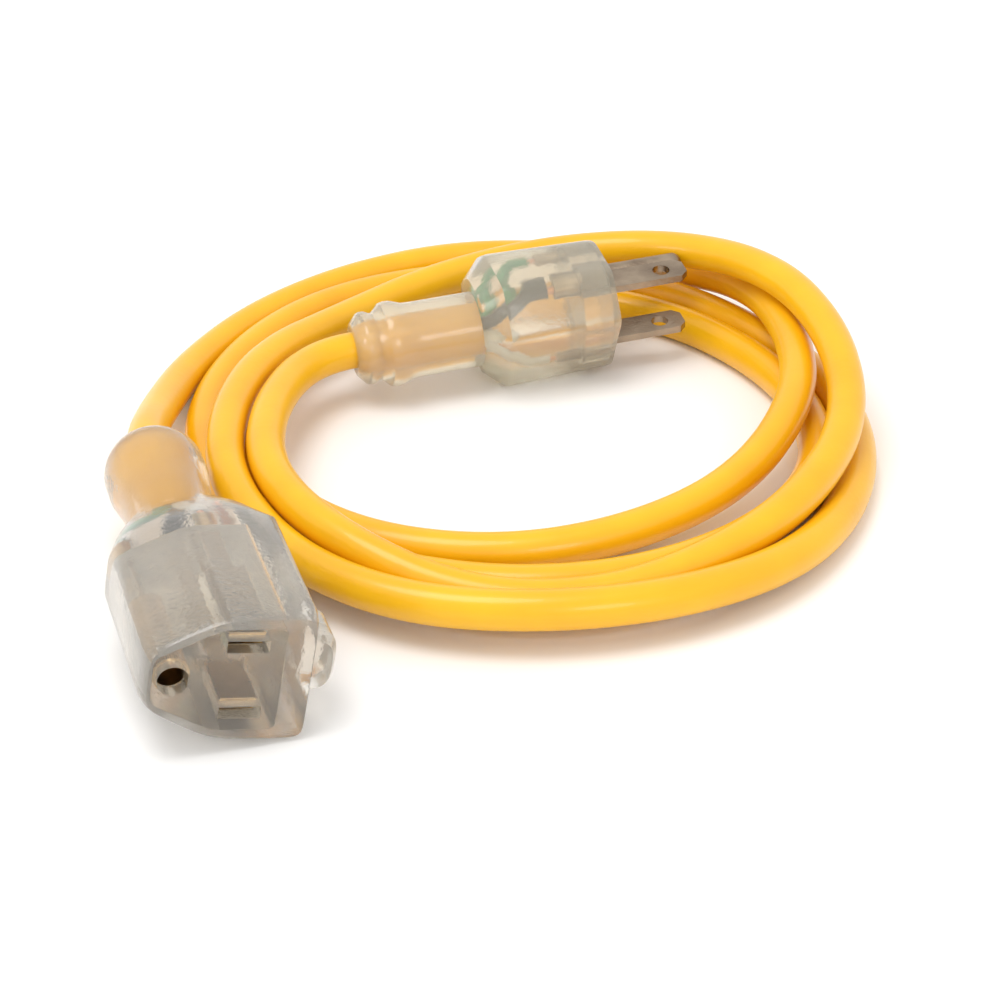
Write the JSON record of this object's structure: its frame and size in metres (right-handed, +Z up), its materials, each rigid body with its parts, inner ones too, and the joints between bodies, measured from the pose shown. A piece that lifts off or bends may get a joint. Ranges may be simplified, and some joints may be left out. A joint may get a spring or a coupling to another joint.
{
  "type": "extension cord",
  "caption": "Yellow three-wire extension cord lying in loose turns, with a clear moulded plug and a clear moulded lighted connector.",
  "frame": {"origin": "on the floor, at the bottom centre of the box around the plug and the connector", "axes": "+Z up, +X along the plug's length as seen from above (yawed 16 degrees), +Y away from the connector towards the plug"},
  "size_m": [0.1475, 0.1933, 0.027],
  "materials": {
    "jacket": "satin",
    "clear_moulding": "satin",
    "inner_block": "satin",
    "plated_contact": "satin",
    "brass_contact": "satin",
    "copper": "satin",
    "black_insulation": "gloss",
    "white_insulation": "gloss",
    "green_insulation": "gloss",
    "lamp_glass": "gloss",
    "resistor": "satin"
  },
  "bodies": {
    "root": {"connector_body": "clear_moulding", "connector_carrier": "inner_block", "connector_contact_ground": "brass_contact", "connector_contact_line": "brass_contact", "connector_contact_neutral": "brass_contact", "connector_jacket_end": "jacket", "connector_strands_ground": "copper", "connector_strands_line": "copper", "connector_strands_neutral": "copper", "connector_wire_ground": "green_insulation", "connector_wire_line": "black_insulation", "connector_wire_neutral": "white_insulation", "cord": "jacket", "lamp_glass": "lamp_glass", "lamp_lead_far": "copper", "lamp_lead_near": "copper", "lamp_resistor": "resistor", "plug_blade_line": "plated_contact", "plug_blade_neutral": "plated_contact", "plug_body": "clear_moulding", "plug_bridge": "inner_block", "plug_ground_pin": "plated_contact", "plug_jacket_end": "jacket", "plug_strands_ground": "copper", "plug_strands_line": "copper", "plug_strands_neutral": "copper", "plug_wire_ground": "green_insulation", "plug_wire_line": "black_insulation", "plug_wire_neutral": "white_insulation"}
  },
  "joints": []
}
